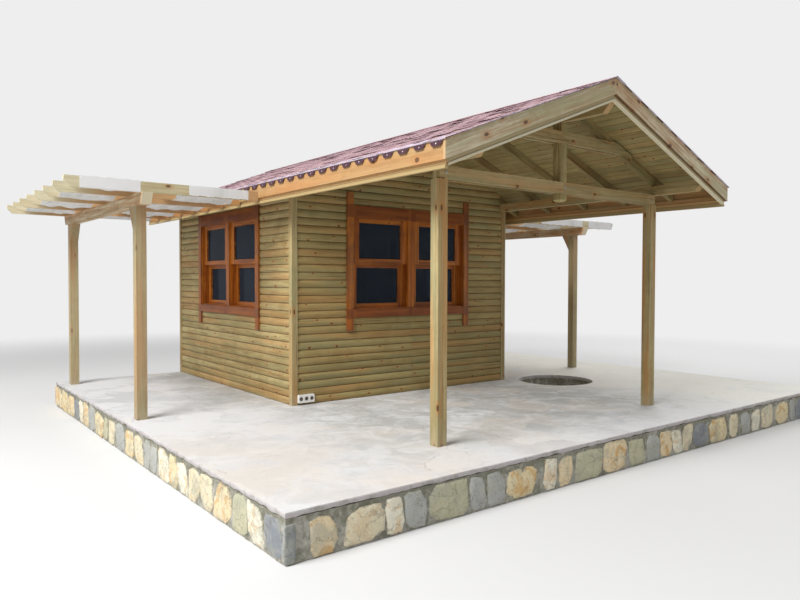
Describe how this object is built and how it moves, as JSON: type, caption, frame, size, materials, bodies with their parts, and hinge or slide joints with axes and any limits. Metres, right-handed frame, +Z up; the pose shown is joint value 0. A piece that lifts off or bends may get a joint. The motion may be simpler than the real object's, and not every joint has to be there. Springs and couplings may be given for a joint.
{
  "type": "timber guard booth",
  "caption": "Timber guard booth with half-log walls, sash windows, gabled porch roof and side pergolas on a rubble-stone plinth.",
  "frame": {"origin": "middle of the booth's plan, on the underside of the plinth", "axes": "+X to the right along the gable front, +Y from front to back along the ridge, +Z up"},
  "size_m": [8.228, 6.911, 3.5339],
  "materials": {
    "rubble_stone": "rough random rubble in grey mortar",
    "flagstone": "pale flagstones, dusty",
    "post_timber": "sawn pine, pressure treated, weathered",
    "siding_timber": "half-log pine boards, treated, weathered",
    "beam_timber": "sawn pine, treated",
    "rafter_timber": "sawn pine, treated",
    "roof_board_timber": "tongue-and-groove pine boards",
    "fascia_timber": "planed pine, stained honey",
    "stained_joinery": "red-brown stained joinery, satin",
    "window_glass": "clear float glass",
    "bitumen_shingle": "mineral-faced bitumen shingles, dusty red",
    "white_canvas": "white shade canvas, slightly creased",
    "white_plastic": "white moulded plastic",
    "door_metal": "brushed steel"
  },
  "bodies": {
    "root": {"back_door": "stained_joinery", "back_door_frame": "stained_joinery", "back_door_handle": "door_metal", "back_gable": "siding_timber", "back_wall": "siding_timber", "barge_boards_back": "fascia_timber", "barge_boards_front": "fascia_timber", "collar_boards": "beam_timber", "corner_posts": "post_timber", "eave_plate_left": "beam_timber", "eave_plate_right": "beam_timber", "fascia_left": "fascia_timber", "fascia_right": "fascia_timber", "front_gable": "siding_timber", "front_wall": "siding_timber", "front_window_frame": "stained_joinery", "front_window_sashes": "stained_joinery", "king_post": "beam_timber", "left_wall": "siding_timber", "left_window_frame": "stained_joinery", "left_window_sashes": "stained_joinery", "parting_beads": "stained_joinery", "pergola_left_beam": "post_timber", "pergola_left_brackets": "post_timber", "pergola_left_canvas": "white_canvas", "pergola_left_posts": "post_timber", "pergola_left_rafters": "rafter_timber", "pergola_right_beam": "post_timber", "pergola_right_brackets": "post_timber", "pergola_right_canvas": "white_canvas", "pergola_right_posts": "post_timber", "pergola_right_rafters": "rafter_timber", "plinth_body": "rubble_stone", "plinth_paving": "flagstone", "porch_posts": "post_timber", "rafters_left": "rafter_timber", "rafters_right": "rafter_timber", "ridge_beam": "beam_timber", "ridge_cap": "bitumen_shingle", "right_wall": "siding_timber", "right_window_frame": "stained_joinery", "right_window_sashes": "stained_joinery", "roof_boards_left": "roof_board_timber", "roof_boards_right": "roof_board_timber", "shingles_left": "bitumen_shingle", "shingles_right": "bitumen_shingle", "socket_outlet": "white_plastic", "tie_boards": "beam_timber", "window_glass": "window_glass"}
  },
  "joints": []
}
